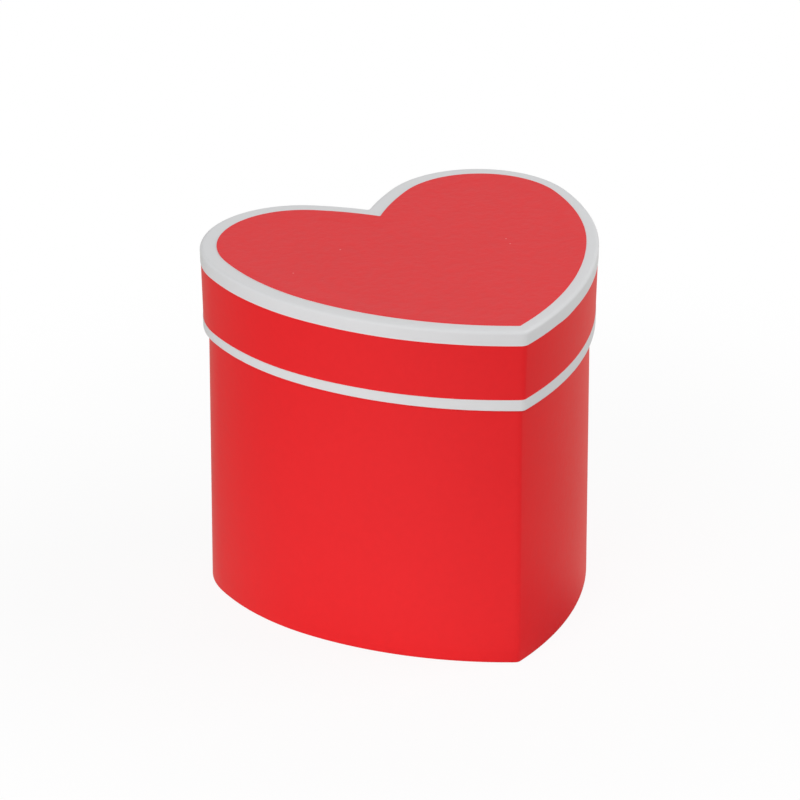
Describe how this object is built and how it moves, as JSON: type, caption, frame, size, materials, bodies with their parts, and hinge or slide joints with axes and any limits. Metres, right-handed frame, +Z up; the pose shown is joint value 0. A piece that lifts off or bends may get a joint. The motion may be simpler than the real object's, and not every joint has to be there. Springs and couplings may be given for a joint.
{
  "type": "heart-shaped gift box",
  "caption": "Tall heart-shaped rigid paperboard gift box with a lift-off telescoping lid, covered in red paper, with white paper edging along the lid's edges.",
  "frame": {"origin": "centre of the closed box's footprint, on the underside that it stands on", "axes": "+Z up, the way the lid lifts; the heart's point toward -Y, its notch toward +Y; +X across the lobes"},
  "size_m": [0.1922, 0.1842, 0.1752],
  "materials": {
    "greyboard": "raw grey board",
    "red_cover_paper": "satin",
    "red_label_paper": "embossed satin",
    "white_edging_paper": "satin",
    "white_lining_paper": "matt",
    "white_label_paper": "matt",
    "stay_tape": "matt"
  },
  "bodies": {
    "base": {"base_wall_board": "greyboard", "base_floor_board": "greyboard", "base_wall_lining": "white_lining_paper", "base_floor_lining": "white_lining_paper", "base_seam_tape": "stay_tape", "base_wrap": "red_cover_paper", "base_bottom_label": "white_label_paper"},
    "lid": {"lid_skirt_board": "greyboard", "lid_top_board": "greyboard", "lid_skirt_lining": "white_lining_paper", "lid_top_lining": "white_lining_paper", "lid_seam_tape": "stay_tape", "lid_skirt_wrap": "red_cover_paper", "lid_upper_edging": "white_edging_paper", "lid_lower_edging": "white_edging_paper", "lid_top_label": "red_label_paper"}
  },
  "joints": [
    {"name": "lid_lift", "type": "slide", "parent": "base", "child": "lid", "axis": [0, 0, 1], "range_m": [0, 0.15]}
  ]
}
